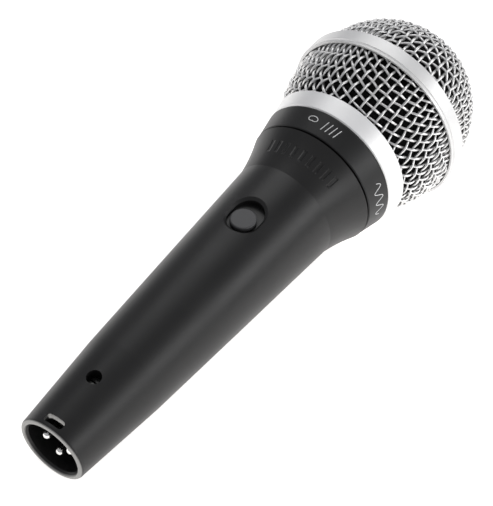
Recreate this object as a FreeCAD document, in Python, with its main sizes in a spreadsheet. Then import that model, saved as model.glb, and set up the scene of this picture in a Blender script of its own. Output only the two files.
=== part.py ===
import FreeCAD, Part
import math
import os
import Sketcher
from FreeCAD import Placement, Rotation, Vector

# A handheld vocal microphone, lying on its side along +X.
# The origin is the centre of the connector's rim, +X runs to the grille and +Z up through the switch.
# Turned pieces are outlines of (distance along the axis, radius) spun round X.

doc = FreeCAD.newDocument("microphone")
sheet = doc.addObject("Spreadsheet::Sheet", "Sizes")

SIZES = {
    # handle
    "handle_length": 108.2,
    "rim_radius": 9.85,
    "grip_x": 28.0,
    "grip_radius": 12.05,
    "middle_x": 60.0,
    "middle_radius": 13.7,
    "waist_x": 96.0,
    "waist_radius": 15.5,
    "flare_bow": 60.0,
    "flare_radius": 19.15,
    "wall": 2.0,
    "lip_round": 0.85,
    # connector socket
    "socket_radius": 8.0,
    "mouth_radius": 8.6,
    "mouth_depth": 1.0,
    "insert_front": 15.0,
    "insert_back": 23.0,
    "web_radius": 7.0,
    "web_back": 25.0,
    "pin_radius": 1.2,
    "pin_root_radius": 1.7,
    "pin_tip": 2.0,
    "pin_back": 27.5,
    "pin_circle": 3.81,
    "cup_depth": 3.5,
    "cup_radius_inside": 0.8,
    "latch_x": 2.6,
    "latch_width": 5.5,
    "latch_length": 2.4,
    "latch_corner": 0.9,
    "screw_x": 17.5,
    "screw_hole_radius": 2.0,
    "lock_screw_radius": 1.5,
    "lock_screw_bottom": 2.6,
    "lock_screw_top": 8.7,
    "lock_slot_width": 0.5,
    "lock_slot_depth": 0.8,
    "tag_thickness": 0.4,
    "tag_half_width": 2.3,
    "tag_tail": 3.0,
    # gaps between pieces that touch or turn on each other
    "fit_gap": 0.05,
    "snug_gap": 0.02,
    # slide switch
    "button_x": 77.9,
    "button_travel": 2.2,
    "button_radius": 3.55,
    "button_top": 13.95,
    "button_underside": 12.75,
    "button_rounding": 0.45,
    "recess_radius": 4.4,
    "recess_floor": 12.4,
    "recess_bevel": 0.75,
    "boss_bottom": 10.9,
    "boss_length": 21.0,
    "boss_half_width": 6.0,
    "stem_half_length": 1.2,
    "stem_half_width": 1.05,
    "stem_bottom": 8.7,
    "stem_clearance": 0.3,
    "slider_half_length": 2.6,
    "slider_half_width": 2.2,
    "slider_bottom": 7.2,
    "slider_top": 10.3,
    "wiper_half_length": 2.2,
    "wiper_half_width": 0.8,
    "wiper_foot": 0.6,
    "wiper_bottom": 6.5,
    "wiper_thickness": 0.25,
    "case_bottom": 5.2,
    "case_half_length": 5.5,
    "case_half_width": 3.3,
    "case_wall": 1.0,
    "case_floor": 0.8,
    "terminal_spacing": 3.0,
    "terminal_bottom": 2.6,
    "pad_length": 1.6,
    "pad_width": 3.6,
    "pad_thickness": 0.4,
    "lug_thickness": 0.5,
    "lug_width": 1.6,
    "bracket_half_length": 10.0,
    "bracket_thickness": 0.5,
    "window_half_length": 3.0,
    "window_half_width": 1.6,
    "bracket_screw_place": 8.2,
    "bracket_screw_radius": 1.0,
    "bracket_screw_top": 12.0,
    "screw_head_radius": 1.9,
    "screw_head_height": 1.2,
    "cross_half_length": 1.1,
    "cross_half_width": 0.2,
    "cross_depth": 0.6,
    # collar and head
    "collar_back": 101.5,
    "collar_start": 108.9,
    "collar_end": 116.0,
    "collar_end_radius": 20.6,
    "back_thread_radius": 15.2,
    "head_thread_radius": 18.6,
    "head_thread_end": 121.0,
    "collar_bore": 13.8,
    "mount_bore": 16.9,
    "mount_seat": 117.5,
    "gasket": 0.4,
    "ring_end": 122.0,
    "ring_end_radius": 21.65,
    "band_start": 138.3,
    "band_end": 143.4,
    "band_radius": 27.0,
    "dome_x": 144.5,
    "dome_radius": 25.3,
    "mesh_thickness": 1.1,
    "bowl_bow": 34.0,
    "foam": 3.0,
    # capsule
    "neck_radius": 11.0,
    "neck_wall": 1.2,
    "neck_back": 106.0,
    "cup_back": 122.0,
    "cup_front": 138.0,
    "cup_radius": 15.0,
    "yoke_back": 123.2,
    "yoke_front": 131.4,
    "yoke_radius": 13.5,
    "magnet_radius": 8.0,
    "magnet_back": 125.2,
    "magnet_front": 129.8,
    "pole_radius": 8.3,
    "vent_radius": 2.0,
    "coil_inner": 8.55,
    "coil_outer": 9.05,
    "coil_back": 129.9,
    "diaphragm_x": 133.1,
    "diaphragm_radius": 12.6,
    "diaphragm_height": 1.9,
    "film": 0.15,
    "cap_back": 136.0,
    "cap_thickness": 1.8,
    "cap_middle_radius": 2.2,
    "cap_hole_radius": 1.9,
    "cap_hole_circle": 8.0,
    "felt_thickness": 2.0,
    "board_back": 106.3,
    "board_thickness": 1.2,
    "capsule_lug_place": 3.5,
    "capsule_lug_back": 103.5,
    "capsule_lug_width": 1.6,
    "capsule_lug_thickness": 0.5,
    "wire_radius": 0.4,
}

# Cutting blocks reach PAST the face they cut, or go THROUGH the whole wall.
PAST = 1.0
THROUGH = 20.0
EDGE_SEARCH = 0.01
CAP_HOLES = 8
BEND_SHARE = 0.45

for row, (name, number) in enumerate(SIZES.items(), start=1):
    sheet.set(f"A{row}", name)
    sheet.set(f"B{row}", str(number))
    sheet.setAlias(f"B{row}", name)
doc.recompute()


class Length:
    """A size that keeps its number and the spreadsheet formula it comes from."""

    def __init__(self, number, formula):
        self.number = number
        self.formula = formula

    def __add__(self, other):
        other = length(other)
        return Length(self.number + other.number, f"({self.formula} + {other.formula})")

    def __sub__(self, other):
        other = length(other)
        return Length(self.number - other.number, f"({self.formula} - {other.formula})")

    def __mul__(self, factor):
        return Length(self.number * factor, f"({self.formula} * {factor})")

    def __neg__(self):
        return self * -1.0


def length(value):
    """A plain number as a Length."""
    return value if isinstance(value, Length) else Length(float(value), f"{float(value):.6f}")


class Sizes:
    """Each size of the sheet by its name."""

    def __getattr__(self, name):
        return Length(float(sheet.get(name)), f"Sizes.{name}")


size = Sizes()
node_objects = []


def node(label, obj):
    """Name an object as one sub-part of the microphone."""
    obj.Label = label
    node_objects.append(obj)
    return obj


def bind(obj, **properties):
    """Tie an object's properties to formulas of the sheet."""
    for name, value in properties.items():
        obj.setExpression(name.replace("__", "."), length(value).formula)
    return obj


def move(obj, x=0, y=0, z=0):
    return bind(obj, Placement__Base__x=x, Placement__Base__y=y, Placement__Base__z=z)


# ---- sketches ----

def origin_plane(body, role):
    for feature in body.Origin.OriginFeatures:
        if feature.Role == role:
            return feature
    raise LookupError(role)


def arc_between(start, end, bow):
    """The arc from start to end with radius |bow|; a positive bow bulges to the left of the way."""
    chord = end - start
    half = chord.Length / 2
    left = Vector(-chord.y, chord.x, 0).normalize()
    rise = max(bow * bow - half * half, 0) ** 0.5
    centre = (start + end) * 0.5 - left * (rise if bow > 0 else -rise)
    first, last = (end, start) if bow > 0 else (start, end)
    first_angle = math.atan2(first.y - centre.y, first.x - centre.x)
    last_angle = math.atan2(last.y - centre.y, last.x - centre.x)
    if last_angle < first_angle:
        last_angle += 2 * math.pi
    circle = Part.Circle(centre, Vector(0, 0, 1), abs(bow))
    return Part.ArcOfCircle(circle, first_angle, last_angle)


def outline_sketch(body, name, outline, height=None):
    """A closed outline of (x, y) or (x, y, bow) corners; bow bends the edge that leads to the corner."""
    sketch = body.newObject("Sketcher::SketchObject", name)
    sketch.AttachmentSupport = (origin_plane(body, "XY_Plane"), [""])
    sketch.MapMode = "FlatFace"
    if height is not None:
        bind(sketch, AttachmentOffset__Base__z=height)
    corners = [(length(x), length(y), length(bow[0]) if bow else None) for x, y, *bow in outline]
    edges = []
    starts = []
    for index, (x, y, _) in enumerate(corners):
        next_x, next_y, bow = corners[(index + 1) % len(corners)]
        start = Vector(x.number, y.number, 0)
        end = Vector(next_x.number, next_y.number, 0)
        edge = Part.LineSegment(start, end) if bow is None else arc_between(start, end, bow.number)
        edges.append((sketch.addGeometry(edge, False), bow))
        starts.append((1, 2) if bow is None or bow.number < 0 else (2, 1))
    rules = []
    for index, (x, y, _) in enumerate(corners):
        number, bow = edges[index]
        start_point, end_point = starts[index]
        following = (index + 1) % len(corners)
        rules.append((Sketcher.Constraint("DistanceX", number, start_point, x.number), x))
        rules.append((Sketcher.Constraint("DistanceY", number, start_point, y.number), y))
        rules.append((Sketcher.Constraint(
            "Coincident", number, end_point, edges[following][0], starts[following][0]), None))
        if bow is not None:
            rules.append((Sketcher.Constraint("Radius", number, abs(bow.number)),
                          bow if bow.number > 0 else -bow))
    for index, (rule, value) in enumerate(rules):
        sketch.addConstraint(rule)
        if value is not None:
            sketch.renameConstraint(index, f"size{index}")
            sketch.setExpression(f"Constraints.size{index}", value.formula)
    return sketch


def turned(name, outline):
    """A body made by turning an outline round the X axis."""
    body = doc.addObject("PartDesign::Body", name)
    sketch = outline_sketch(body, f"{name}_outline", outline)
    spin = body.newObject("PartDesign::Revolution", f"{name}_turn")
    spin.Profile = sketch
    spin.ReferenceAxis = (sketch, ["H_Axis"])
    spin.Angle = 360
    return body


def slot_body(name, x, half_straight, radius, bottom, height):
    """A straight block with a cylinder at each end."""
    middle = block(f"{name}_middle", x - half_straight, -radius, bottom,
                   half_straight * 2, radius * 2, height)
    ends = [upright(f"{name}_end", x + half_straight * sign, 0, bottom, radius, height)
            for sign in (-1, 1)]
    return joined(name, [middle] + ends)


# ---- primitives and booleans ----

def block(name, x, y, z, long, wide, high):
    """A box from its lowest corner."""
    box = doc.addObject("Part::Box", name)
    bind(box, Length=long, Width=wide, Height=high)
    return move(box, x, y, z)


def upright(name, x, y, z, radius, height):
    """A cylinder standing along Z."""
    cylinder = doc.addObject("Part::Cylinder", name)
    bind(cylinder, Radius=radius, Height=height)
    return move(cylinder, x, y, z)


def along(name, x, y, z, radius, reach):
    """A cylinder lying along X."""
    cylinder = doc.addObject("Part::Cylinder", name)
    cylinder.Placement = Placement(Vector(), Rotation(Vector(0, 1, 0), 90))
    bind(cylinder, Radius=radius, Height=reach)
    return move(cylinder, x, y, z)


def joined(name, pieces):
    fusion = doc.addObject("Part::MultiFuse", name)
    fusion.Shapes = pieces
    return fusion


def group(name, pieces):
    """Separate solids kept together in one sub-part."""
    compound = doc.addObject("Part::Compound", name)
    compound.Links = pieces
    return compound


def carved(name, base, tools):
    """A base with every tool taken away."""
    cut = doc.addObject("Part::Cut", name)
    cut.Base = base
    cut.Tool = tools[0] if len(tools) == 1 else joined(f"{name}_tools", tools)
    return cut


# ---- handle ----

def handle_shell():
    end = size.handle_length
    outer = turned("handle_outer", [
        (0, 0),
        (0, size.rim_radius - size.lip_round),
        (size.lip_round, size.rim_radius, size.lip_round),
        (size.grip_x, size.grip_radius),
        (size.middle_x, size.middle_radius),
        (size.waist_x, size.waist_radius),
        (end, size.flare_radius, -size.flare_bow),
        (end, 0),
    ])
    mouth = size.mouth_radius
    seat = size.collar_back
    thread = size.back_thread_radius + size.fit_gap
    cavity = turned("handle_cavity", [
        (-1, 0),
        (-1, mouth),
        (0, mouth),
        (size.mouth_depth, size.socket_radius),
        (size.insert_back, size.socket_radius),
        (size.insert_back, size.web_radius),
        (size.web_back, size.web_radius),
        (size.web_back, size.rim_radius),
        (size.waist_x, size.waist_radius - size.wall),
        (seat, size.waist_radius - size.wall + 0.6),
        (seat, thread),
        (end + 1, thread),
        (end + 1, 0),
    ])
    middle = switch_middle()
    boss = block("switch_boss", middle - size.boss_length * 0.5, -size.boss_half_width,
                 size.boss_bottom, size.boss_length, size.boss_half_width * 2, THROUGH)
    hollow = carved("handle_hollow", cavity, [boss])
    recess = slot_body("switch_recess", middle, size.button_travel * 0.5, size.recess_radius,
                       size.recess_floor, THROUGH)
    stem_slot = slot_body("stem_slot", middle, size.button_travel * 0.5 + size.stem_clearance,
                          size.stem_half_length + size.stem_clearance, 0, THROUGH)
    screw_hole = upright("screw_hole", size.screw_x, 0, 0, size.screw_hole_radius, THROUGH)
    fixings = [upright("bracket_hole", x, 0, 0, size.bracket_screw_radius + size.snug_gap,
                       size.bracket_screw_top + size.fit_gap) for x in bracket_screw_places()]
    rough = carved("handle_rough", outer,
                   [hollow, recess, stem_slot, latch_slot(), screw_hole] + fixings)
    doc.recompute()
    bevel = doc.addObject("Part::Chamfer", "handle_shell")
    bevel.Base = rough
    width = size.recess_bevel.number
    bevel.Edges = [(number, width, width) for number in rim_edges(rough.Shape)]
    return node("handle_shell", bevel)


def latch_slot():
    """The short slot with round corners that the plug's latch drops into."""
    half_width = size.latch_width * 0.5
    half_length = size.latch_length * 0.5
    corner = size.latch_corner
    pieces = [
        block("latch_long", size.latch_x - half_length, -half_width + corner, 0,
              size.latch_length, size.latch_width - corner * 2, THROUGH),
        block("latch_wide", size.latch_x - half_length + corner, -half_width, 0,
              size.latch_length - corner * 2, size.latch_width, THROUGH),
    ]
    for end in (-1, 1):
        for side in (-1, 1):
            pieces.append(upright("latch_corner", size.latch_x + (half_length - corner) * end,
                                  (half_width - corner) * side, 0, corner, THROUGH))
    return joined("latch_slot", pieces)


def rim_edges(shape):
    """The numbers of the edges where the switch recess meets the outside of the handle."""
    found = []
    middle = switch_middle().number
    reach = size.recess_radius.number + size.button_travel.number / 2
    outside = size.recess_floor.number + 0.5
    for number, edge in enumerate(shape.Edges, start=1):
        box = edge.BoundBox
        near = abs(box.Center.x - middle) < reach + 0.5 and box.ZMin > outside
        if near:
            found.append(number)
    return found


def connector_insert():
    disc = along("insert_disc", size.insert_front, 0, 0, size.socket_radius - size.fit_gap,
                 size.insert_back - size.insert_front)
    holes = [along("insert_pin_hole", size.insert_front - PAST, y, z,
                   size.pin_root_radius + size.snug_gap,
                   size.insert_back - size.insert_front + 2 * PAST) for y, z in pin_places()]
    screw = upright("insert_screw_hole", size.screw_x, 0, size.lock_screw_bottom - size.snug_gap,
                    size.lock_screw_radius + size.snug_gap, THROUGH)
    return node("connector_insert", carved("connector_insert", disc, holes + [screw]))


def pin_places():
    """Centres of contacts 1, 2 and 3, as seen from the mating side with the latch on top."""
    return [(size.pin_circle, 0), (-size.pin_circle, 0), (0, -size.pin_circle)]


def contact_pins():
    """A round pin with a ball tip in front, a thicker root in the insert and a solder cup behind."""
    cup = size.pin_back - size.cup_depth
    for number, (y, z) in enumerate(pin_places(), start=1):
        pin = turned(f"contact_pin_{number}", [
            (size.pin_tip, 0),
            (size.pin_tip + size.pin_radius, size.pin_radius, size.pin_radius),
            (size.insert_front, size.pin_radius),
            (size.insert_front, size.pin_root_radius),
            (size.pin_back, size.pin_root_radius),
            (size.pin_back, size.cup_radius_inside),
            (cup, size.cup_radius_inside),
            (cup, 0),
        ])
        node(f"contact_pin_{number}", move(pin, 0, y, z))


def insert_screw():
    """The slotted screw that backs out into the handle to hold the insert."""
    shank = upright("lock_screw_shank", size.screw_x, 0, size.lock_screw_bottom,
                    size.lock_screw_radius, size.lock_screw_top - size.lock_screw_bottom)
    slot = block("lock_screw_slot", size.screw_x - size.lock_slot_width * 0.5, -size.lock_screw_radius - PAST,
                 size.lock_screw_top - size.lock_slot_depth, size.lock_slot_width,
                 size.lock_screw_radius * 2 + 2 * PAST, THROUGH)
    return node("insert_screw", carved("insert_screw", shank, [slot]))


def ground_tag():
    """The thin lug that ties contact 1 to the handle behind the insert."""
    x = size.insert_back + size.fit_gap
    half = size.tag_half_width
    plate = block("ground_plate", x, size.pin_circle - half, -half, size.tag_thickness, half * 2, half * 2)
    tail = block("ground_tail", x, size.pin_circle, -half * 0.5, size.tag_thickness, size.tag_tail, half)
    hole = along("ground_hole", x - PAST, size.pin_circle, 0, size.pin_root_radius + size.fit_gap,
                 size.tag_thickness + 2 * PAST)
    return node("ground_tag", carved("ground_tag", joined("ground_lug", [plate, tail]), [hole]))


# ---- switch ----

def switch_middle():
    """The middle of the button's travel, where the case and the bracket are centred."""
    return size.button_x + size.button_travel * 0.5


def bracket_screw_places():
    return [switch_middle() + size.bracket_screw_place * side for side in (-1, 1)]


def centred_block(name, x, half_length, half_width, bottom, top):
    """A block centred on x and on the Y axis."""
    return block(name, x - half_length, -half_width, bottom, half_length * 2, half_width * 2, top - bottom)


def switch_button():
    """A round flat button with a stem that reaches down into the slider."""
    cap = upright("button_cap", size.button_x, 0, size.button_underside, size.button_radius,
                  size.button_top - size.button_underside)
    doc.recompute()
    rounded = doc.addObject("Part::Fillet", "button_rounded")
    rounded.Base = cap
    top_edge = [number for number, edge in enumerate(cap.Shape.Edges, start=1)
                if edge.BoundBox.ZMin > size.button_top.number - EDGE_SEARCH]
    rounding = size.button_rounding.number
    rounded.Edges = [(number, rounding, rounding) for number in top_edge]
    stem = centred_block("button_stem", size.button_x, size.stem_half_length, size.stem_half_width,
                         size.stem_bottom, size.button_underside + size.button_rounding)
    return node("switch_button", joined("switch_button", [rounded, stem]))


def switch_slider():
    body = centred_block("slider_block", size.button_x, size.slider_half_length,
                         size.slider_half_width, size.slider_bottom, size.slider_top)
    pocket = centred_block("slider_pocket", size.button_x, size.stem_half_length + size.snug_gap,
                           size.stem_half_width + size.snug_gap, size.stem_bottom - size.fit_gap,
                           size.slider_top + PAST)
    return node("switch_slider", carved("switch_slider", body, [pocket]))


def switch_wiper():
    """The bronze bridge under the slider that joins two terminals."""
    top = size.slider_bottom
    underside = top - size.wiper_thickness
    strip = centred_block("wiper_strip", size.button_x, size.wiper_half_length,
                          size.wiper_half_width, underside, top)
    half_foot = size.wiper_foot * 0.5
    feet = [centred_block("wiper_foot", size.button_x + (size.wiper_half_length - half_foot) * side,
                          half_foot, size.wiper_half_width, size.wiper_bottom, underside)
            for side in (-1, 1)]
    return node("switch_wiper", joined("switch_wiper", [strip] + feet))


def terminal_places():
    return [switch_middle() + size.terminal_spacing * step for step in (-1, 0, 1)]


def switch_case():
    middle = switch_middle()
    wall = size.case_wall
    shell = centred_block("case_outer", middle, size.case_half_length, size.case_half_width,
                          size.case_bottom, size.boss_bottom - size.bracket_thickness)
    room = centred_block("case_room", middle, size.case_half_length - wall,
                         size.case_half_width - wall, size.case_bottom + size.case_floor,
                         size.boss_bottom + PAST)
    gaps = [centred_block("case_gap", x, size.lug_thickness * 0.5 + size.fit_gap,
                          size.lug_width * 0.5 + size.fit_gap, size.case_bottom - PAST,
                          size.case_bottom + size.case_floor + PAST) for x in terminal_places()]
    return node("switch_case", carved("switch_case", shell, [room] + gaps))


def switch_terminals():
    """Three contact pads on the floor of the case, each with a solder lug below."""
    floor = size.case_bottom + size.case_floor
    pieces = []
    for x in terminal_places():
        pad = centred_block("terminal_pad", x, size.pad_length * 0.5, size.pad_width * 0.5,
                            floor, floor + size.pad_thickness)
        lug = centred_block("terminal_lug", x, size.lug_thickness * 0.5, size.lug_width * 0.5,
                            size.terminal_bottom, floor + size.pad_thickness * 0.5)
        pieces.append(joined("terminal", [pad, lug]))
    return node("switch_terminals", group("switch_terminals", pieces))


def switch_bracket():
    """The steel strap that hangs the switch under the boss of the handle."""
    bottom = size.boss_bottom - size.bracket_thickness
    strap = centred_block("bracket_strap", switch_middle(), size.bracket_half_length,
                          size.case_half_width, bottom, size.boss_bottom)
    window = centred_block("bracket_window", switch_middle(), size.window_half_length,
                           size.window_half_width, bottom - PAST, size.boss_bottom + PAST)
    holes = [upright("bracket_clearance", x, 0, bottom - PAST,
                     size.bracket_screw_radius + size.fit_gap * 2,
                     size.bracket_thickness + 2 * PAST) for x in bracket_screw_places()]
    return node("switch_bracket", carved("switch_bracket", strap, [window] + holes))


def switch_screws():
    """Two small pan-head screws; each head has a cross recess."""
    seat = size.boss_bottom - size.bracket_thickness
    underside = seat - size.screw_head_height
    long, narrow = size.cross_half_length, size.cross_half_width
    screws = []
    for x in bracket_screw_places():
        head = upright("bracket_screw_head", x, 0, underside, size.screw_head_radius,
                       size.screw_head_height)
        shank = upright("bracket_screw_shank", x, 0, seat - size.bracket_thickness,
                        size.bracket_screw_radius,
                        size.bracket_screw_top - seat + size.bracket_thickness)
        cross = joined("bracket_screw_cross", [
            centred_block("cross_arm", x, reach, width, underside - PAST, underside + size.cross_depth)
            for reach, width in ((long, narrow), (narrow, long))
        ])
        screws.append(carved("bracket_screw", joined("bracket_screw_body", [head, shank]), [cross]))
    return node("switch_screws", group("switch_screws", screws))


# ---- collar and grille ----

def name_collar():
    """The black ring between handle and grille, threaded on both sides."""
    start = size.collar_start
    end = size.collar_end
    bevel = 0.25
    return node("name_collar", turned("name_collar", [
        (size.collar_back, size.collar_bore),
        (size.collar_back, size.back_thread_radius),
        (start, size.back_thread_radius),
        (start, size.flare_radius - 0.15),
        (start + bevel, size.flare_radius + 0.1),
        (end - bevel, size.collar_end_radius),
        (end, size.collar_end_radius - bevel),
        (end, size.head_thread_radius),
        (size.head_thread_end, size.head_thread_radius),
        (size.head_thread_end, size.mount_bore),
        (size.mount_seat, size.mount_bore),
        (size.mount_seat, size.collar_bore),
    ]))


def grille_gasket():
    inner = size.head_thread_radius + size.fit_gap
    return node("grille_gasket", turned("grille_gasket", [
        (size.collar_end, inner),
        (size.collar_end, size.collar_end_radius - 0.4),
        (size.collar_end + size.gasket, size.collar_end_radius - 0.4),
        (size.collar_end + size.gasket, inner),
    ]))


def grille_base_ring():
    """The satin ring that screws on the collar; its thin front lip holds the hem of the mesh."""
    start = size.collar_end + size.gasket
    inner = size.head_thread_radius + size.fit_gap
    bevel = 0.3
    return node("grille_base_ring", turned("grille_base_ring", [
        (start, inner),
        (start, size.collar_end_radius - bevel),
        (start + bevel, size.collar_end_radius + 0.05),
        (size.ring_end - bevel, size.ring_end_radius),
        (size.ring_end, size.ring_end_radius - bevel),
        (size.ring_end, size.ring_end_radius - 0.5),
        (size.ring_end - 1.8, size.ring_end_radius - 1.05),
        (size.ring_end - 1.8, inner),
    ]))


def grille_bowl_mesh():
    """The woven lower half of the grille, as a thin shell as thick as its two crossing wires."""
    bottom = size.ring_end - 1.7
    top = size.band_start + 2.3
    low = size.ring_end_radius - 1.85
    high = size.band_radius - 1.05
    skin = size.mesh_thickness
    return node("grille_bowl_mesh", turned("grille_bowl_mesh", [
        (bottom, low),
        (top, high, size.bowl_bow),
        (top, high - skin),
        (bottom, low - skin, -size.bowl_bow),
    ]))


def grille_band():
    """The waist ring that clamps the hems of both meshes."""
    start = size.band_start
    end = size.band_end
    outer = size.band_radius
    hem = size.band_radius - 1.0
    dome_hem = size.dome_radius + 0.1
    ridge = start + 2.4
    return node("grille_band", turned("grille_band", [
        (start, hem),
        (start, outer - 0.45),
        (start + 0.7, outer - 0.35),
        (start + 0.9, outer),
        (end - 0.35, outer),
        (end, outer - 0.35, 0.36),
        (end, dome_hem),
        (ridge + 0.5, dome_hem),
        (ridge + 0.5, dome_hem - 1.0),
        (ridge, dome_hem - 1.0),
        (ridge, hem),
    ]))


def grille_dome_mesh():
    hem = size.band_start + 3.0
    skin = size.mesh_thickness
    tip = size.dome_x + size.dome_radius
    return node("grille_dome_mesh", turned("grille_dome_mesh", [
        (hem, size.dome_radius),
        (size.dome_x, size.dome_radius),
        (tip, 0, size.dome_radius),
        (tip - skin, 0),
        (size.dome_x, size.dome_radius - skin, -(size.dome_radius - skin)),
        (hem, size.dome_radius - skin),
    ]))


def foam_liner():
    """The pop foam inside the grille, a soft shell just clear of the wires."""
    outer = size.dome_radius - size.mesh_thickness - 0.3
    inner = outer - size.foam
    start = size.ring_end + 0.4
    low = size.ring_end_radius - 1.8
    return node("foam_liner", turned("foam_liner", [
        (start, low),
        (size.dome_x - 5, outer, size.bowl_bow),
        (size.dome_x, outer),
        (size.dome_x + outer, 0, outer),
        (size.dome_x + inner, 0),
        (size.dome_x, inner, -inner),
        (size.dome_x - 5, inner),
        (start, low - size.foam, -size.bowl_bow),
    ]))


# ---- capsule ----

def shock_mount():
    """The rubber ring that carries the capsule in the collar."""
    grip = size.neck_radius + 0.02
    sleeve = size.neck_radius + 1.6
    seat = size.mount_seat + 0.02
    return node("shock_mount", turned("shock_mount", [
        (size.neck_back + 4, grip),
        (size.neck_back + 4, sleeve),
        (seat, sleeve),
        (seat, size.mount_bore - size.fit_gap),
        (seat + 2, size.mount_bore - size.fit_gap),
        (seat + 2, sleeve),
        (size.cup_back - 0.3, sleeve),
        (size.cup_back - 0.3, grip),
    ]))


def mount_ring():
    """The snap ring that holds the rubber flange down."""
    back = size.mount_seat + 2.04
    outer = size.mount_bore - 0.02
    return node("mount_ring", turned("mount_ring", [
        (back, outer - 2.2),
        (back, outer),
        (size.head_thread_end, outer),
        (size.head_thread_end, outer - 2.2),
    ]))


def capsule_housing():
    """The capsule's plastic body: a wide cup in front and a neck that holds the air behind it."""
    bore = size.neck_radius - size.neck_wall
    cup_bore = size.yoke_radius + size.fit_gap
    return node("capsule_housing", turned("capsule_housing", [
        (size.neck_back, bore),
        (size.neck_back, size.neck_radius),
        (size.cup_back, size.neck_radius),
        (size.cup_back, size.cup_radius - 0.4),
        (size.cup_back + 0.4, size.cup_radius, 0.4),
        (size.cup_front - 0.4, size.cup_radius),
        (size.cup_front, size.cup_radius - 0.4, 0.4),
        (size.cup_front, cup_bore),
        (size.yoke_back, cup_bore),
        (size.yoke_back, bore),
    ]))


def magnet_yoke():
    """The soft iron pot whose front lip makes the outside of the air gap."""
    return node("magnet_yoke", turned("magnet_yoke", [
        (size.yoke_back, size.vent_radius),
        (size.yoke_back, size.yoke_radius),
        (size.yoke_front, size.yoke_radius),
        (size.yoke_front, size.coil_outer + 0.25),
        (size.magnet_front, size.coil_outer + 0.25),
        (size.magnet_front, size.yoke_radius - 2.3),
        (size.magnet_back, size.yoke_radius - 2.3),
        (size.magnet_back, size.vent_radius),
    ]))


def ring(label, back, front, inner, outer):
    return node(label, turned(label, [(back, inner), (back, outer), (front, outer), (front, inner)]))


def disc(label, back, front, radius):
    return node(label, turned(label, [(back, 0), (back, radius), (front, radius), (front, 0)]))


def diaphragm():
    """A thin domed film with a rolled edge, glued to the coil."""
    x = size.diaphragm_x
    edge = size.diaphragm_radius
    film = size.film
    rise = size.diaphragm_height.number
    reach = size.coil_outer.number
    dome_bow = (reach * reach + rise * rise) / (2 * rise)
    roll_bow = 2.4
    return node("diaphragm", turned("diaphragm", [
        (x, edge, -roll_bow),
        (x + film, edge),
        (x + film, size.coil_outer, roll_bow),
        (x + film + rise, 0, dome_bow),
        (x + rise, 0),
        (x, size.coil_outer, -dome_bow),
    ]))


def front_cap():
    """The perforated cap in front of the diaphragm."""
    plate = along("cap_plate", size.cap_back, 0, 0, size.yoke_radius, size.cap_thickness)
    depth = size.cap_thickness + 2 * PAST
    holes = [along("cap_hole_middle", size.cap_back - PAST, 0, 0, size.cap_middle_radius, depth)]
    for step in range(CAP_HOLES):
        angle = 2 * math.pi * step / CAP_HOLES
        holes.append(along("cap_hole", size.cap_back - PAST, size.cap_hole_circle * math.sin(angle),
                           size.cap_hole_circle * math.cos(angle), size.cap_hole_radius, depth))
    return node("front_cap", carved("front_cap", plate, holes))


def terminal_board():
    board = along("board_disc", size.board_back, 0, 0,
                  size.neck_radius - size.neck_wall - size.snug_gap, size.board_thickness)
    return node("terminal_board", board)


def capsule_terminals():
    """Two solder lugs that stand out behind the terminal board."""
    half_width = size.capsule_lug_width * 0.5
    half_thickness = size.capsule_lug_thickness * 0.5
    lugs = [block("capsule_lug", size.capsule_lug_back, size.capsule_lug_place * side - half_width,
                  -half_thickness, size.board_back - size.capsule_lug_back,
                  size.capsule_lug_width, size.capsule_lug_thickness) for side in (-1, 1)]
    return node("capsule_terminals", group("capsule_terminals", lugs))


# ---- wires ----

def wire(label, route):
    """A round wire along straight runs joined by tangent arcs."""
    points = [Vector(*[length(value).number for value in point]) for point in route]
    edges = []
    start = points[0]
    for before, corner, after in zip(points, points[1:], points[2:]):
        arriving = (corner - before).normalize()
        leaving = (after - corner).normalize()
        turn = arriving.getAngle(leaving)
        shorter = min((corner - before).Length, (after - corner).Length)
        trim = BEND_SHARE * shorter
        bend_start = corner - arriving * trim
        bend_end = corner + leaving * trim
        inward = (leaving - arriving).normalize()
        radius = trim / math.tan(turn / 2)
        centre_distance = (radius * radius + trim * trim) ** 0.5
        middle = corner + inward * (centre_distance - radius)
        edges.append(Part.LineSegment(start, bend_start).toShape())
        edges.append(Part.Arc(bend_start, middle, bend_end).toShape())
        start = bend_end
    edges.append(Part.LineSegment(start, points[-1]).toShape())
    path = Part.Wire(edges)
    radius = size.wire_radius.number
    section = Part.Wire(Part.makeCircle(radius, points[0], points[1] - points[0]))
    tube = path.makePipeShell([section], True, False)
    obj = doc.addObject("Part::Feature", label)
    obj.Shape = tube
    return node(label, obj)


def wires():
    """The loose wires: capsule to switch, capsule to contact 3, switch to contact 2, and ground."""
    middle = switch_middle()
    lug_height = size.terminal_bottom + 0.6
    lug = size.capsule_lug_place
    capsule_end = size.capsule_lug_back - 0.1
    cup_end = size.pin_back - 2
    pin = size.pin_circle
    wire("wire_capsule_hot", [
        (capsule_end, lug, 0),
        (capsule_end - 9, lug - 0.6, -0.5),
        (middle + 12, 1.4, 1.0),
        (middle + 3.35, 0, lug_height),
    ])
    wire("wire_capsule_cold", [
        (capsule_end, -lug, 0),
        (capsule_end - 10, -lug - 0.8, -1.5),
        (middle, -4.6, -3.4),
        (60, -3.6, -5.2),
        (44, -2.0, -5.4),
        (34, -0.4, -4.6),
        (cup_end, 0, -pin),
    ])
    wire("wire_output_hot", [
        (middle - 0.6, 0, lug_height - 0.1),
        (middle - 2.1, 0.2, 1.2),
        (66, 0.6, -0.6),
        (52, -1.0, 0.4),
        (38, -2.8, 0.5),
        (cup_end, -pin, 0),
    ])
    wire("wire_ground", [
        (cup_end, pin, 0),
        (33, pin + 0.3, 0.4),
        (41, 5.2, -1.6),
        (50, 7.4, -3.0),
    ])


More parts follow.
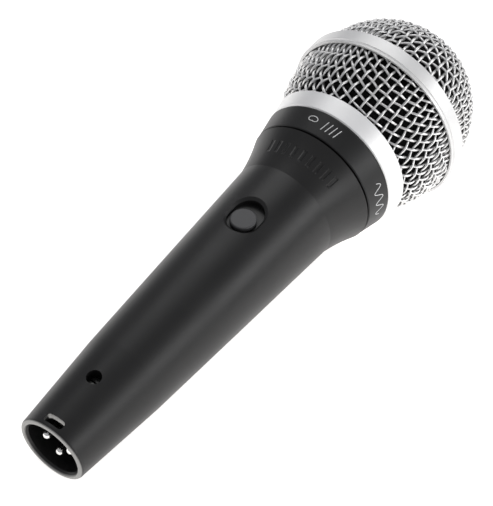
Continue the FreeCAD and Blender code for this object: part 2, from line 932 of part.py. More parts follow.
def check_and_write():
    """Stop on any failed object, then write one STEP file for each sub-part."""
    failed = [obj.Name for obj in doc.Objects if "Invalid" in obj.State or "Error" in obj.State]
    for obj in node_objects:
        if obj.Shape.isNull() or not obj.Shape.isValid() or not obj.Shape.Solids:
            failed.append(obj.Label)
    if failed:
        raise SystemExit(f"failed objects: {failed}")
    os.makedirs("parts", exist_ok=True)
    for obj in node_objects:
        box = obj.Shape.BoundBox
        print(f"{obj.Label}: {len(obj.Shape.Solids)} solids, volume {obj.Shape.Volume:.1f}, "
              f"x {box.XMin:.2f} to {box.XMax:.2f}")
        obj.Shape.exportStep(f"parts/{obj.Label}.step")


handle_shell()
connector_insert()
contact_pins()
insert_screw()
ground_tag()
switch_button()
switch_slider()
switch_wiper()
switch_case()
switch_terminals()
switch_bracket()
switch_screws()
name_collar()
grille_gasket()
grille_base_ring()
grille_bowl_mesh()
grille_band()
grille_dome_mesh()
foam_liner()
shock_mount()
mount_ring()
capsule_housing()
magnet_yoke()
ring("magnet", size.magnet_back, size.magnet_front, size.vent_radius, size.magnet_radius)
ring("pole_plate", size.magnet_front, size.yoke_front, size.vent_radius, size.pole_radius)
ring("voice_coil", size.coil_back, size.diaphragm_x, size.coil_inner, size.coil_outer)
diaphragm()
ring("diaphragm_ring", size.yoke_front, size.cap_back, size.yoke_radius - 0.75, size.yoke_radius)
front_cap()
disc("front_screen", size.cap_back + size.cap_thickness, size.cup_front, size.yoke_radius - 0.1)
disc("damping_felt", size.yoke_back - size.felt_thickness, size.yoke_back, size.neck_radius - 1.3)
terminal_board()
capsule_terminals()
doc.recompute()
wires()
doc.recompute()
check_and_write()
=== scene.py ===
# %% [markdown]
# # A handheld vocal microphone
# The finished microphone lies on a pale table. Its handle is cast metal with black paint, its ball
# is silver wire cloth over black foam, and a small slide switch sits in a recess on top. The exact
# metal and plastic parts come ready made from the CAD frame. This lesson adds what CAD leaves plain:
# the woven wire, the foam, the printed marks, the finishes and the light.

# %% Load the frame and remember its size
import math

import bmesh
import bpy
from mathutils import Matrix, Vector


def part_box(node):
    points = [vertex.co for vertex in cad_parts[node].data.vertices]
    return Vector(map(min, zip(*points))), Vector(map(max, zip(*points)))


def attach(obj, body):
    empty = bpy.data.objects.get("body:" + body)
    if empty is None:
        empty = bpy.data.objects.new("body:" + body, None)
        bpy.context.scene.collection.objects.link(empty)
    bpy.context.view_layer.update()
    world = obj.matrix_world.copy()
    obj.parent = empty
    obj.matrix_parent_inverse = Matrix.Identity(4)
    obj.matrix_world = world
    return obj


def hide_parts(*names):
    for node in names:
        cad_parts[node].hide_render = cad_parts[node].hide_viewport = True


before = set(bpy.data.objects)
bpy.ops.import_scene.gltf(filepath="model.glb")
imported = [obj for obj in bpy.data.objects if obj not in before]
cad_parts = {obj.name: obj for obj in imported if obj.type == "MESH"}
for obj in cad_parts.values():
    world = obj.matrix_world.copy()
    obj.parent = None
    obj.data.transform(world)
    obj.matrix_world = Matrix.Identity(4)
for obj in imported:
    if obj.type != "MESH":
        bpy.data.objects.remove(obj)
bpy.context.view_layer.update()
MM = 0.001

# %% [markdown]
# ## Sizes read from the frame
# The ball has two halves of wire cloth. The round half is a plain hemisphere, so its tip and its
# width give the centre and the radius. The lower half is a bowl whose side is one arc, from the hem
# inside the base ring to the hem inside the waist band. Reading these from the CAD boxes keeps the
# wires where the metal parts hold them.

# %% Measure the ball
dome_low, dome_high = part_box("grille_dome_mesh")
bowl_low, bowl_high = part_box("grille_bowl_mesh")
ring_low, ring_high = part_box("grille_base_ring")
band_low, band_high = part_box("grille_band")

WIRE = 0.375 * MM
CRIMP = 0.42 * MM
dome_radius = dome_high.y - WIRE - CRIMP
dome_centre = dome_high.x - dome_high.y
bowl_start = Vector((bowl_low.x, ring_high.y - 1.85 * MM))
bowl_end = Vector((bowl_high.x, bowl_high.y))
BOWL_BOW = 34.0 * MM
print("dome radius in mm:", round(dome_radius / MM, 2), "centre at", round(dome_centre / MM, 2))

# %% [markdown]
# ## How wire cloth sits on a ball
# Wire cloth is woven flat, with square holes, and then pressed over a round die. The wires don't
# stretch, so each little square keeps its four sides and leans over into a diamond, most of all
# half way between the two main directions. A net like that can be worked out one crossing at a
# time: on a ball, the fourth corner of a diamond is the mirror twin of the first corner in the
# plane through the other two corners and the ball's centre. Pressing the cloth this way in code
# gives square holes on four sides of the ball and slanted ones between them, which no wrapped
# texture would do.

# %% Work out the crossings of the net
PITCH = 2.6 * MM


def net_crossings(step, furthest):
    """Directions from the ball's centre to the crossings of a quarter of the cloth; the pole is +X."""
    count = int(furthest / step) + 2
    net = {}
    for number in range(count + 1):
        angle = number * step
        net[number, 0] = Vector((math.cos(angle), math.sin(angle), 0))
        net[0, number] = Vector((math.cos(angle), 0, math.sin(angle)))
    for row in range(1, count + 1):
        for column in range(1, count + 1):
            corners = [net.get(key) for key in ((row - 1, column - 1), (row - 1, column), (row, column - 1))]
            if None in corners:
                break
            first, left, right = corners
            plane = left.cross(right).normalized()
            fourth = first - plane * (2 * first.dot(plane))
            if fourth.x > min(left.x, right.x):
                break
            net[row, column] = fourth
    return net


def crossing(net, row, column):
    """A crossing anywhere on the cloth, mirrored from its quarter; None where the cloth ends."""
    quarter = net.get((abs(row), abs(column)))
    if quarter is None:
        return None
    across = -quarter.y if row < 0 else quarter.y
    upward = -quarter.z if column < 0 else quarter.z
    return Vector((quarter.x, across, upward))


net = net_crossings(PITCH / dome_radius, math.radians(104))
print("crossings in a quarter of the cloth:", len(net))

# %% [markdown]
# ## From the net to wires
# Every row and every column of the net is one wire. Between two crossings the wire runs smoothly,
# and at each crossing it goes over its neighbour or under it, in turn. So a wire is a line on the
# ball that swings out and in by a little less than its own thickness. The lines become curve
# splines with a round bevel, which is the simplest way to get hundreds of even wires.

# %% Lay one wire over and under the others
STEPS = 4


def wire_line(net, fixed, reach, along_rows):
    """Points of one wire as (direction, swing) pairs, swing going from -1 to 1."""
    keys = [(fixed, place) if along_rows else (place, fixed) for place in range(-reach, reach + 1)]
    spots = [(key, crossing(net, *key)) for key in keys]
    spots = [(key, spot) for key, spot in spots if spot is not None]
    side = 1 if along_rows else -1
    line = []
    for index in range(len(spots) - 1):
        before = spots[max(index - 1, 0)][1]
        (row, column), start = spots[index]
        end = spots[index + 1][1]
        after = spots[min(index + 2, len(spots) - 1)][1]
        lift = side * (1 if (row + column) % 2 == 0 else -1)
        for step in range(STEPS):
            t = step / STEPS
            smooth = (start * 2 + (end - before) * t + (before * 2 - start * 5 + end * 4 - after) * t ** 2
                      + (start * 3 - before - end * 3 + after) * t ** 3)
            line.append((smooth.normalized(), lift * math.cos(math.pi * t)))
    return line


def kept_runs(points):
    """Splits a line of points, some of them None, into its unbroken runs."""
    run = []
    for point in points + [None]:
        if point is not None:
            run.append(point)
        elif run:
            yield run
            run = []


def woven_cloth(name, net, place):
    """A mesh of all wires; place turns a direction and a swing into a point, or None off the cloth."""
    curve = bpy.data.curves.new(name, "CURVE")
    curve.dimensions = "3D"
    curve.bevel_depth = WIRE
    curve.bevel_resolution = 1
    curve.use_fill_caps = True
    reach = max(row for row, _ in net)
    for along_rows in (True, False):
        for fixed in range(-reach, reach + 1):
            line = wire_line(net, fixed, reach, along_rows)
            for run in kept_runs([place(direction, swing) for direction, swing in line]):
                if len(run) < 3:
                    continue
                spline = curve.splines.new("POLY")
                spline.points.add(len(run) - 1)
                for slot, point in zip(spline.points, run):
                    slot.co = (*point, 1)
    holder = bpy.data.objects.new(name, curve)
    bpy.context.collection.objects.link(holder)
    mesh = bpy.data.meshes.new_from_object(holder.evaluated_get(bpy.context.evaluated_depsgraph_get()))
    bpy.data.objects.remove(holder)
    piece = bpy.data.objects.new(name, mesh)
    bpy.context.collection.objects.link(piece)
    mesh.shade_smooth()
    print(name, "has", len(mesh.polygons), "faces")
    return piece


# %% [markdown]
# ## The two halves of the ball
# Both cloths are turned a little about the microphone's axis, as the real one was when it was
# pressed. On the round half, the wires follow the ball and then run straight into the waist band.
# The bowl uses the same net, seen from its own closed end: how far a crossing is from the waist,
# measured along the cloth, is how far it goes down the bowl's side.

# %% Weave the round half
TURN = Matrix.Rotation(math.radians(21.5), 3, "X")
dome_hem = math.pi / 2 + (dome_centre - dome_low.x) / dome_radius


def on_dome(direction, swing):
    polar = math.acos(max(-1.0, min(1.0, direction.x)))
    if polar > dome_hem:
        return None
    turned = TURN @ direction
    radius = dome_radius + CRIMP * swing
    if polar <= math.pi / 2:
        return Vector((dome_centre, 0, 0)) + turned * radius
    sideways = Vector((0, turned.y, turned.z)).normalized()
    return Vector((dome_centre - (polar - math.pi / 2) * dome_radius, 0, 0)) + sideways * radius


woven_dome = woven_cloth("woven_dome", net, on_dome)
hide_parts("grille_dome_mesh")
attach(woven_dome, "grille_head")

# %% Weave the bowl
chord = bowl_end - bowl_start
half_turn = math.asin(chord.length / 2 / BOWL_BOW)
inward = Vector((chord.y, -chord.x)).normalized()
bowl_middle = (bowl_start + bowl_end) / 2 + inward * (BOWL_BOW * math.cos(half_turn))
start_angle = math.atan2(bowl_start.y - bowl_middle.y, bowl_start.x - bowl_middle.x)
cloth_length = 2 * half_turn * BOWL_BOW
bowl_radius = bowl_end.y - WIRE - CRIMP


def on_bowl(direction, swing):
    polar = math.acos(max(-1.0, min(1.0, direction.x)))
    down = (math.pi / 2 - polar) * bowl_radius
    if not 0 <= down <= cloth_length:
        return None
    angle = start_angle - (cloth_length - down) / BOWL_BOW
    reach = BOWL_BOW - WIRE - CRIMP + CRIMP * swing
    along = bowl_middle.x + reach * math.cos(angle)
    radius = bowl_middle.y + reach * math.sin(angle)
    turned = TURN @ direction
    sideways = Vector((0, turned.y, turned.z)).normalized()
    return Vector((along, 0, 0)) + sideways * radius


woven_bowl = woven_cloth("woven_bowl", net_crossings(PITCH / bowl_radius, math.radians(104)), on_bowl)
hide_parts("grille_bowl_mesh")
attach(woven_bowl, "grille_head")

# %% [markdown]
# ## The foam behind the wires
# The ball is lined with open foam. It is a thick soft shell, so its outline is drawn once and spun
# round the axis, and a gentle wave in the surface keeps it from looking turned. It stays a third of
# a millimetre clear of the wires.

# %% Shape the foam
foam_low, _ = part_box("foam_liner")
foam_radius = dome_radius - WIRE - CRIMP - 0.3 * MM
FOAM_THICKNESS = 2.8 * MM
SPIN_STEPS = 96


def spun(name, outline):
    """A closed outline of (along, radius) points turned round the X axis into a solid skin."""
    shape = bmesh.new()
    corners = [shape.verts.new((along, radius, 0)) for along, radius in outline]
    edges = [shape.edges.new(pair) for pair in zip(corners, corners[1:] + corners[:1])]
    bmesh.ops.spin(shape, geom=corners + edges, cent=(0, 0, 0), axis=(1, 0, 0),
                   angle=math.tau, steps=SPIN_STEPS, use_merge=True)
    bmesh.ops.remove_doubles(shape, verts=shape.verts, dist=0.001 * MM)
    bmesh.ops.recalc_face_normals(shape, faces=shape.faces)
    mesh = bpy.data.meshes.new(name)
    shape.to_mesh(mesh)
    shape.free()
    mesh.shade_smooth()
    piece = bpy.data.objects.new(name, mesh)
    bpy.context.collection.objects.link(piece)
    return piece


def arc(centre, radius, start, end, count):
    """Points of an arc in the outline's plane, angles in degrees from the axis."""
    angles = [math.radians(start + (end - start) * number / count) for number in range(count + 1)]
    return [(centre + radius * math.cos(angle), radius * math.sin(angle)) for angle in angles]


def bowl_point(along):
    """The radius of the bowl's side at a place along the axis."""
    return bowl_middle.y + math.sqrt(BOWL_BOW ** 2 - (along - bowl_middle.x) ** 2)


foam_start = foam_low.x + 0.2 * MM
foam_top = dome_centre - 5 * MM
side = [foam_start + (foam_top - foam_start) * number / 8 for number in range(9)]
CLOTH = 2 * (WIRE + CRIMP) + 0.35 * MM
outer_side = [(along, min(bowl_point(along) - CLOTH, foam_radius)) for along in side]
inner_side = [(along, radius - FOAM_THICKNESS) for along, radius in outer_side]
outer_round = arc(dome_centre, foam_radius, 90, 0, 24)
inner_round = arc(dome_centre, foam_radius - FOAM_THICKNESS, 0, 90, 24)
foam = spun("foam_lining", outer_side + outer_round + inner_round + inner_side[::-1])
wave = foam.modifiers.new("soft wave", "DISPLACE")
wave.texture = bpy.data.textures.new("foam wave", "CLOUDS")
wave.texture.noise_scale = 0.004
wave.strength = 0.25 * MM
wave.mid_level = 1.0
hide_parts("foam_liner")
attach(foam, "grille_head")

# %% [markdown]
# ## The printed marks on the collar
# Makers print a few plain signs on this ring: the heart-shaped pickup pattern, a gap and some
# dashes, and a wave further round. Each sign is a thin raised line of ink, so each is a curve that
# lies on the collar's cone with a very thin round bevel.

# %% Draw on the collar
collar_low, collar_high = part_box("name_collar")
PRINT = 0.17 * MM
PRINT_START = ring_low.x - 6.8 * MM
COLLAR_SMALL = collar_high.y - 1.3 * MM
HEART_REACH = 0.6875
HEART_SPREAD = 3.04


def on_collar(along, angle):
    """A point on the cone of the collar; the angle is in degrees from the top towards the right side."""
    share = (along - PRINT_START) / (6.4 * MM)
    radius = COLLAR_SMALL + (collar_high.y - COLLAR_SMALL) * share - 0.07 * MM
    turn = math.radians(angle)
    return Vector((along, -radius * math.sin(turn), radius * math.cos(turn)))


def sign(lines):
    """Adds lines of (along in mm from the print's start, degrees) to the printed marks."""
    for line in lines:
        spline = ink.splines.new("POLY")
        spline.points.add(len(line) - 1)
        for slot, (along, angle) in zip(spline.points, line):
            slot.co = (*on_collar(PRINT_START + along * MM, angle), 1)


def heart_point(turn):
    """A point of the pickup pattern: (along in mm from the print's start, degrees)."""
    bulge = 1 + math.cos(turn)
    return (3.0 + HEART_REACH * bulge * math.cos(turn),
            -8.5 + HEART_SPREAD * bulge * math.sin(turn))


ink = bpy.data.curves.new("collar_marks", "CURVE")
ink.dimensions = "3D"
ink.bevel_depth = PRINT
ink.bevel_resolution = 1
ink.use_fill_caps = True
turns = [math.tau * number / 40 for number in range(41)]
heart = [heart_point(turn) for turn in turns]
dashes = [[(1.6, angle), (4.6, angle + 2.0)] for angle in (2.0, 6.0, 10.0, 14.0)]
swell = [(3.2 + 1.3 * math.sin(number / 40 * math.tau * 3), 66 + 32 * number / 40) for number in range(41)]
sign([heart, swell] + dashes)
marks_curve = bpy.data.objects.new("marks_curve", ink)
bpy.context.collection.objects.link(marks_curve)
marks_mesh = bpy.data.meshes.new_from_object(marks_curve.evaluated_get(bpy.context.evaluated_depsgraph_get()))
bpy.data.objects.remove(marks_curve)
marks = bpy.data.objects.new("collar_marks", marks_mesh)
bpy.context.collection.objects.link(marks)
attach(marks, "handle")
print("printed marks:", len(marks_mesh.polygons), "faces")

# %% [markdown]
# ## A shared effect: fine grain
# Paint, plastic and blasted metal all have a grain too small to see as shape, which still breaks up
# the reflections. It is one node group with a size, a depth and two roughness values, so each
# material only states its own numbers.

# %% Build the grain group
def new_group(name, inputs, outputs):
    group = bpy.data.node_groups.new(name, "ShaderNodeTree")
    for label, kind, value in inputs:
        socket = group.interface.new_socket(label, in_out="INPUT", socket_type=kind)
        if value is not None:
            socket.default_value = value
    for label, kind in outputs:
        group.interface.new_socket(label, in_out="OUTPUT", socket_type=kind)
    return group, group.nodes.new("NodeGroupInput"), group.nodes.new("NodeGroupOutput")


FLOAT, COLOUR, VECTOR = "NodeSocketFloat", "NodeSocketColor", "NodeSocketVector"


def make_grain_group():
    group, given, result = new_group(
        "fine grain",
        [("Coordinates", VECTOR, None), ("Size in mm", FLOAT, 0.3), ("Depth in mm", FLOAT, 0.01),
         ("Smooth", FLOAT, 0.3), ("Rough", FLOAT, 0.45), ("Colour", COLOUR, (0.5, 0.5, 0.5, 1)),
         ("Second colour", COLOUR, (0.5, 0.5, 0.5, 1))],
        [("Colour", COLOUR), ("Roughness", FLOAT), ("Normal", VECTOR), ("Mask", FLOAT)])
    nodes, links = group.nodes, group.links
    scale = nodes.new("ShaderNodeMath")
    scale.operation = "DIVIDE"
    scale.inputs[0].default_value = 1000
    links.new(given.outputs["Size in mm"], scale.inputs[1])
    fine = nodes.new("ShaderNodeTexNoise")
    fine.inputs["Detail"].default_value = 3
    links.new(given.outputs["Coordinates"], fine.inputs["Vector"])
    links.new(scale.outputs[0], fine.inputs["Scale"])
    broad = nodes.new("ShaderNodeTexNoise")
    broad.inputs["Scale"].default_value = 60
    broad.inputs["Detail"].default_value = 4
    links.new(given.outputs["Coordinates"], broad.inputs["Vector"])
    spread = nodes.new("ShaderNodeMapRange")
    spread.inputs["From Min"].default_value = 0.3
    spread.inputs["From Max"].default_value = 0.7
    links.new(broad.outputs["Fac"], spread.inputs["Value"])
    links.new(given.outputs["Smooth"], spread.inputs["To Min"])
    links.new(given.outputs["Rough"], spread.inputs["To Max"])
    links.new(spread.outputs["Result"], result.inputs["Roughness"])
    blend = nodes.new("ShaderNodeMix")
    blend.data_type = "RGBA"
    links.new(broad.outputs["Fac"], blend.inputs["Factor"])
    links.new(given.outputs["Colour"], blend.inputs["A"])
    links.new(given.outputs["Second colour"], blend.inputs["B"])
    links.new(blend.outputs["Result"], result.inputs["Colour"])
    depth = nodes.new("ShaderNodeMath")
    depth.operation = "MULTIPLY"
    depth.inputs[1].default_value = MM
    links.new(given.outputs["Depth in mm"], depth.inputs[0])
    bump = nodes.new("ShaderNodeBump")
    links.new(depth.outputs[0], bump.inputs["Distance"])
    links.new(fine.outputs["Fac"], bump.inputs["Height"])
    links.new(bump.outputs["Normal"], result.inputs["Normal"])
    links.new(fine.outputs["Fac"], result.inputs["Mask"])
    return group


grain = make_grain_group()
print("grain group has", len(grain.nodes), "nodes")

# %% [markdown]
# ## A shared effect: place along the axis
# The microphone is a turned object, so many marks on it are a place along the axis and an angle
# round it. This group gives both, in millimetres and degrees, and the distance from the axis.

# %% Build the turned-coordinates group
def make_turned_group():
    group, given, result = new_group(
        "turned coordinates", [("Coordinates", VECTOR, None)],
        [("Along", FLOAT), ("Degrees", FLOAT), ("Radius", FLOAT)])
    nodes, links = group.nodes, group.links
    parts = nodes.new("ShaderNodeSeparateXYZ")
    links.new(given.outputs["Coordinates"], parts.inputs[0])

    def math_node(operation, first, second=None):
        node = nodes.new("ShaderNodeMath")
        node.operation = operation
        for socket, value in zip(node.inputs, (first, second)):
            if isinstance(value, (int, float)):
                socket.default_value = value
            elif value is not None:
                links.new(value, socket)
        return node.outputs[0]

    y, z = parts.outputs["Y"], parts.outputs["Z"]
    links.new(math_node("MULTIPLY", parts.outputs["X"], 1000), result.inputs["Along"])
    angle = math_node("ARCTAN2", math_node("MULTIPLY", y, -1), z)
    links.new(math_node("MULTIPLY", angle, 180 / math.pi), result.inputs["Degrees"])
    square = math_node("ADD", math_node("MULTIPLY", y, y), math_node("MULTIPLY", z, z))
    links.new(math_node("MULTIPLY", math_node("SQRT", square), 1000), result.inputs["Radius"])
    return group


turned = make_turned_group()

# %% [markdown]
# ## A recipe for plain finishes
# Most pieces need the same recipe: two close colours mixed by a broad noise, a roughness that
# wanders between two values, and a small bump. The constant values, such as how metallic the
# surface is, go straight on the shader.

# %% Write the recipe
class Finish:
    """A material under construction, with short calls for nodes and links."""

    def __init__(self, name, metallic=0.0, ior=1.5):
        self.material = bpy.data.materials.new(name)
        self.material.use_nodes = True
        self.nodes = self.material.node_tree.nodes
        self.links = self.material.node_tree.links
        self.shader = self.nodes["Principled BSDF"]
        self.shader.inputs["Metallic"].default_value = metallic
        self.shader.inputs["IOR"].default_value = ior
        self.place = self.nodes.new("ShaderNodeTexCoord").outputs["Object"]

    def group(self, group, **values):
        node = self.nodes.new("ShaderNodeGroup")
        node.node_tree = group
        self.links.new(self.place, node.inputs["Coordinates"])
        for label, value in values.items():
            node.inputs[label.replace("_", " ")].default_value = value
        return node

    def math(self, operation, *values):
        node = self.nodes.new("ShaderNodeMath")
        node.operation = operation
        for socket, value in zip(node.inputs, values):
            if isinstance(value, (int, float)):
                socket.default_value = value
            else:
                self.links.new(value, socket)
        return node.outputs[0]

    def between(self, value, low, high, soft=0.05):
        """1 where value lies between low and high, with soft edges."""
        rise = self.nodes.new("ShaderNodeMapRange")
        fall = self.nodes.new("ShaderNodeMapRange")
        for node, edge in ((rise, low), (fall, high)):
            self.links.new(value, node.inputs["Value"])
            node.inputs["From Min"].default_value = edge - soft
            node.inputs["From Max"].default_value = edge + soft
        return self.math("MULTIPLY", rise.outputs[0], self.math("SUBTRACT", 1, fall.outputs[0]))

    def mix(self, factor, first, second):
        node = self.nodes.new("ShaderNodeMix")
        node.data_type = "RGBA"
        self.links.new(factor, node.inputs["Factor"])
        for socket, value in ((node.inputs["A"], first), (node.inputs["B"], second)):
            if isinstance(value, tuple):
                socket.default_value = value
            else:
                self.links.new(value, socket)
        return node.outputs["Result"]


def grey(level, tint=(1, 1, 1)):
    return (level * tint[0], level * tint[1], level * tint[2], 1)


def plain_finish(name, colour, second, smooth, rough, size=0.3, depth=0.01, metallic=0.0, ior=1.5):
    """A finish that uses only the grain group."""
    finish = Finish(name, metallic, ior)
    node = finish.group(grain, Size_in_mm=size, Depth_in_mm=depth, Smooth=smooth, Rough=rough,
                        Colour=colour, Second_colour=second)
    for output, socket in (("Colour", "Base Color"), ("Roughness", "Roughness"), ("Normal", "Normal")):
        finish.links.new(node.outputs[output], finish.shader.inputs[socket])
    return finish.material


def coat(material, *names):
    """Puts a material on CAD nodes by name."""
    for name in names:
        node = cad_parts[name]
        if not node.material_slots:
            node.data.materials.append(material)
        for slot in node.material_slots:
            slot.material = material


# %% [markdown]
# ## The painted handle
# The casting is black with a satin sheen. Two things break the black: the rim round the connector
# and the cut edge of the latch slot are bare metal, and below the collar a row of short bars is
# pressed into the casting. Both are places on the turned shape, so both come from the same group.

# %% Paint the handle
BAR_SPACING = 9.0


def handle_paint():
    finish = Finish("satin black paint", ior=1.42)
    node = finish.group(grain, Size_in_mm=0.35, Depth_in_mm=0.012, Smooth=0.36, Rough=0.44,
                        Colour=grey(0.005), Second_colour=grey(0.008, (1.05, 1, 0.97)))
    spot = finish.group(turned)
    along, degrees, radius = (spot.outputs[name] for name in ("Along", "Degrees", "Radius"))
    rim = finish.between(along, -1, 0.32, 0.14)
    slot_wall = finish.math("MULTIPLY", finish.between(along, 1.2, 3.92, 0.03),
                            finish.between(degrees, -18, 18, 0.5))
    slot_wall = finish.math("MULTIPLY", slot_wall, finish.between(radius, 8.15, 9.78, 0.05))
    bare = finish.math("MAXIMUM", rim, slot_wall)
    colour = finish.mix(bare, node.outputs["Colour"], grey(0.3, (1, 0.99, 0.96)))
    roughness = finish.math("ADD", node.outputs["Roughness"], finish.math("MULTIPLY", bare, 0.02))
    finish.links.new(colour, finish.shader.inputs["Base Color"])
    finish.links.new(roughness, finish.shader.inputs["Roughness"])
    finish.links.new(finish.math("MULTIPLY", bare, 0.8), finish.shader.inputs["Metallic"])
    around = finish.math("FRACT", finish.math("MULTIPLY", finish.math("ADD", degrees, 180), 1 / BAR_SPACING))
    bars = finish.between(around, 0.25, 0.6, 0.06)
    dashes = finish.math("MULTIPLY", bars, finish.between(along, 100.9, 104.1, 0.25))
    dashes = finish.math("MULTIPLY", dashes, finish.between(degrees, -36, 45, 0.2))
    dent = finish.nodes.new("ShaderNodeBump")
    dent.invert = True
    dent.inputs["Distance"].default_value = 0.4 * MM
    finish.links.new(dashes, dent.inputs["Height"])
    finish.links.new(node.outputs["Normal"], dent.inputs["Normal"])
    finish.links.new(dent.outputs["Normal"], finish.shader.inputs["Normal"])
    return finish.material


coat(handle_paint(), "handle_shell")
coat(plain_finish("collar black", grey(0.005), grey(0.008), 0.36, 0.46, 0.25, 0.008, ior=1.42), "name_collar")

# %% [markdown]
# ## The silver metal
# The rings are plated and lightly blasted, so they look like pale satin with a faint turned grain.
# The wires have the same plating but are brighter where they are drawn smooth.

# %% Plate the rings and the wires
def plated_ring(name, level):
    finish = Finish(name, metallic=0.55)
    node = finish.group(grain, Size_in_mm=0.18, Depth_in_mm=0.006, Smooth=0.4, Rough=0.5,
                        Colour=grey(level), Second_colour=grey(level * 0.94, (1, 0.995, 0.98)))
    spot = finish.group(turned)
    stretched = finish.nodes.new("ShaderNodeCombineXYZ")
    finish.links.new(finish.math("MULTIPLY", spot.outputs["Along"], 9.0), stretched.inputs["X"])
    finish.links.new(finish.math("MULTIPLY", spot.outputs["Degrees"], 0.06), stretched.inputs["Y"])
    lines = finish.nodes.new("ShaderNodeTexNoise")
    lines.inputs["Scale"].default_value = 1.0
    lines.inputs["Detail"].default_value = 2
    finish.links.new(stretched.outputs[0], lines.inputs["Vector"])
    brushed = finish.nodes.new("ShaderNodeBump")
    brushed.inputs["Distance"].default_value = 0.006 * MM
    finish.links.new(lines.outputs["Fac"], brushed.inputs["Height"])
    finish.links.new(node.outputs["Normal"], brushed.inputs["Normal"])
    finish.links.new(node.outputs["Colour"], finish.shader.inputs["Base Color"])
    finish.links.new(node.outputs["Roughness"], finish.shader.inputs["Roughness"])
    finish.links.new(brushed.outputs["Normal"], finish.shader.inputs["Normal"])
    return finish.material


coat(plated_ring("satin plate", 0.92), "grille_base_ring")
coat(plated_ring("satin plate on the band", 0.78), "grille_band")
wire_plate = plain_finish("plated wire", grey(0.8), grey(0.7, (1, 0.99, 0.97)), 0.26, 0.38, 0.15, 0.01,
                          metallic=0.9)
for cloth in (woven_dome, woven_bowl):
    cloth.data.materials.append(wire_plate)

# %% [markdown]
# ## Foam, ink, plastics and the inner metals
# Foam is nearly black and full of pores, so its bump comes from cells instead of noise. The rest
# are short recipes: matte plastics, rubber, brass, iron and copper inside, and very smooth nickel
# on the contacts.

# %% Mix the remaining finishes
def foam_finish():
    finish = Finish("open foam")
    finish.shader.inputs["Specular IOR Level"].default_value = 0.1
    cells = finish.nodes.new("ShaderNodeTexVoronoi")
    cells.inputs["Scale"].default_value = 1700
    finish.links.new(finish.place, cells.inputs["Vector"])
    # Painted shade: the foam colour is darker at the middle of each cell, where the pores sink in, and
    # lighter on the ridges between them.
    painted_pore_shade = finish.mix(cells.outputs["Distance"], grey(0.002), grey(0.012))
    finish.links.new(painted_pore_shade, finish.shader.inputs["Base Color"])
    pores = finish.nodes.new("ShaderNodeBump")
    pores.inputs["Distance"].default_value = 0.4 * MM
    finish.links.new(cells.outputs["Distance"], pores.inputs["Height"])
    finish.links.new(pores.outputs["Normal"], finish.shader.inputs["Normal"])
    finish.links.new(finish.math("ADD", finish.math("MULTIPLY", cells.outputs["Distance"], 0.1), 0.85),
                     finish.shader.inputs["Roughness"])
    return finish.material


foam.data.materials.append(foam_finish())
marks.data.materials.append(plain_finish("white ink", grey(0.75), grey(0.68), 0.5, 0.6, 0.1, 0.01))
black_plastic = plain_finish("black plastic", grey(0.012), grey(0.018), 0.42, 0.55, 0.2, 0.012)
coat(black_plastic, "connector_insert", "switch_slider", "switch_case", "mount_ring",
     "capsule_housing", "front_cap")
coat(plain_finish("button plastic", grey(0.04, (1, 1, 1.04)), grey(0.05, (1, 1, 1.04)), 0.4, 0.5, 0.2, 0.006),
     "switch_button")
coat(plain_finish("bright nickel", grey(0.9), grey(0.84, (1, 0.98, 0.93)),
                   0.1, 0.18, 0.4, 0.002, metallic=1.0),
     "contact_pin_1", "contact_pin_2", "contact_pin_3", "magnet")
coat(plain_finish("zinc plated steel", grey(0.6), grey(0.5, (1, 0.98, 0.92)),
                   0.22, 0.36, 0.3, 0.006, metallic=1.0),
     "switch_bracket", "switch_screws")
# The screw deep in the connector's hole is coloured very dark steel, much darker than the other screws.
coat(plain_finish("dark steel", grey(0.06), grey(0.04, (1, 0.98, 0.92)),
                   0.2, 0.32, 0.3, 0.006, metallic=0.9),
     "insert_screw")
coat(plain_finish("brass", (0.72, 0.53, 0.24, 1), (0.6, 0.42, 0.2, 1), 0.25, 0.4, 0.3, 0.005, metallic=1.0),
     "ground_tag", "switch_wiper", "switch_terminals", "diaphragm_ring", "capsule_terminals")
coat(plain_finish("soft iron", grey(0.22), grey(0.16), 0.4, 0.6, 0.3, 0.01, metallic=0.9),
     "magnet_yoke", "pole_plate")
coat(plain_finish("copper winding", (0.6, 0.25, 0.1, 1), (0.5, 0.18, 0.07, 1),
                   0.3, 0.4, 0.1, 0.02, metallic=0.8),
     "voice_coil")
coat(plain_finish("polyester film", (0.75, 0.68, 0.45, 1), (0.7, 0.62, 0.4, 1), 0.12, 0.2, 0.5, 0.004),
     "diaphragm")
coat(plain_finish("grey felt", grey(0.4), grey(0.3, (1, 0.97, 0.9)), 0.9, 1.0, 0.12, 0.1), "damping_felt")
coat(plain_finish("acoustic cloth", grey(0.02), grey(0.03), 0.8, 0.9, 0.1, 0.05), "front_screen")
coat(plain_finish("soft rubber", grey(0.018), grey(0.026), 0.6, 0.75, 0.25, 0.01),
     "shock_mount", "grille_gasket")
coat(plain_finish("phenolic board", (0.32, 0.18, 0.07, 1), (0.26, 0.14, 0.05, 1), 0.4, 0.55, 0.2, 0.01),
     "terminal_board")
coat(plain_finish("red insulation", (0.5, 0.03, 0.02, 1), (0.42, 0.02, 0.02, 1), 0.35, 0.5, 0.3, 0.005),
     "wire_capsule_hot", "wire_output_hot")
coat(plain_finish("black insulation", grey(0.015), grey(0.022), 0.35, 0.5, 0.3, 0.005), "wire_capsule_cold")
coat(plain_finish("green insulation", (0.02, 0.2, 0.05, 1), (0.02, 0.16, 0.04, 1), 0.35, 0.5, 0.3, 0.005),
     "wire_ground")

# %% [markdown]
# ## The table
# The microphone touches the table with its rim and its waist band, so its axis slopes. Here the
# microphone stays level, as the frame wants it, and the table slopes instead, through those two
# points. It is a big, plain, pale plane that also glows a little, like the lit tables of product
# studios, which take away the shadow under a dark object.

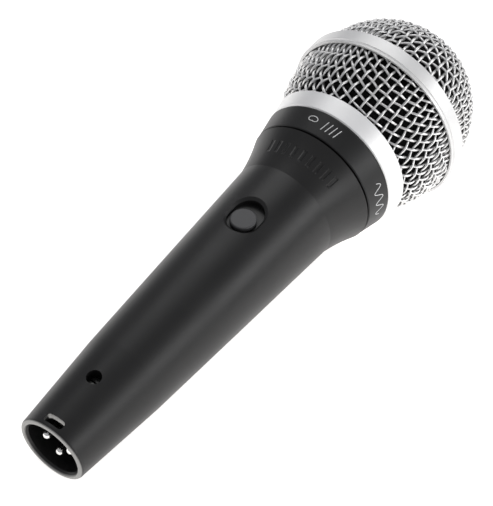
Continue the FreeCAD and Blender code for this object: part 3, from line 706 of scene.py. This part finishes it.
# %% Set the table under the rim and the band
handle_low, handle_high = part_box("handle_shell")
RIM_RADIUS = 9.85 * MM
first_touch = Vector((handle_low.x + 0.7 * MM, 0, -RIM_RADIUS))
second_touch = Vector((band_high.x - 0.35 * MM, 0, band_low.z))
slope = (second_touch - first_touch).normalized()
table_shape = bmesh.new()
bmesh.ops.create_grid(table_shape, x_segments=2, y_segments=2, size=4.0)
bmesh.ops.rotate(table_shape, verts=table_shape.verts, cent=(0, 0, 0),
                 matrix=Vector((1, 0, 0)).rotation_difference(slope).to_matrix())
bmesh.ops.translate(table_shape, verts=table_shape.verts, vec=second_touch - Vector((0, 0, 0.1 * MM)))
table_mesh = bpy.data.meshes.new("table")
table_shape.to_mesh(table_mesh)
table_shape.free()
table = bpy.data.objects.new("table", table_mesh)
bpy.context.collection.objects.link(table)
white_table = plain_finish("white light table", grey(0.93), grey(0.92), 0.85, 0.95, 2.0, 0.001)
glow = white_table.node_tree.nodes["Principled BSDF"]
glow.inputs["Emission Color"].default_value = (1.0, 0.975, 0.95, 1)
glow.inputs["Emission Strength"].default_value = 0.8
table.data.materials.append(white_table)
print("table slope in degrees:", round(math.degrees(math.asin(-slope.z)), 2))

# %% [markdown]
# ## Light
# The light is soft and comes from nearly everywhere, because the object is shown on pure white. A
# long low box beside the handle draws the pale stripe along the paint, a broad box above and
# behind brightens the ball, and the sky fills in the rest.

# %% Hang the lights
def softbox(name, place, aim, width, height, power):
    lamp = bpy.data.lights.new(name, "AREA")
    lamp.shape = "RECTANGLE"
    lamp.size = width
    lamp.size_y = height
    lamp.energy = power
    holder = bpy.data.objects.new(name, lamp)
    bpy.context.collection.objects.link(holder)
    facing = Vector(aim) - Vector(place)
    holder.matrix_world = (Matrix.Translation(place)
                           @ facing.to_track_quat("-Z", "Y").to_matrix().to_4x4())
    return holder


middle = Vector((85 * MM, 0, 0))
softbox("stripe", middle + Vector((0.22, -0.60, 0.27)), middle, 1.0, 0.24, 2.6)
softbox("overhead", middle + Vector((0.9, 0.5, 1.1)), middle, 1.0, 1.0, 5.5)

world = bpy.data.worlds.new("studio")
bpy.context.scene.world = world
world.use_nodes = True
sky = world.node_tree.nodes["Background"]
sky.inputs["Color"].default_value = (0.95, 0.96, 1.0, 1)
sky.inputs["Strength"].default_value = 0.42

# %% [markdown]
# ## The camera
# The camera looks down on the microphone from its connector end, from about half a metre, through a
# long lens, and keeps the horizon level.

# %% Place the camera
camera = bpy.data.cameras.new("camera")
camera.lens = 128.0
camera.sensor_width = 36.0
camera.clip_start = 0.01
camera.clip_end = 20
viewer = bpy.data.objects.new("camera", camera)
bpy.context.collection.objects.link(viewer)
LOOK = Vector((0.509, 0.381, -0.772)).normalized()
STANDPOINT = Vector((-0.1642, -0.1823, 0.3678))
viewer.matrix_world = Matrix.Translation(STANDPOINT) @ LOOK.to_track_quat("-Z", "Y").to_matrix().to_4x4()
bpy.context.scene.camera = viewer
bpy.context.scene.view_settings.view_transform = "Standard"
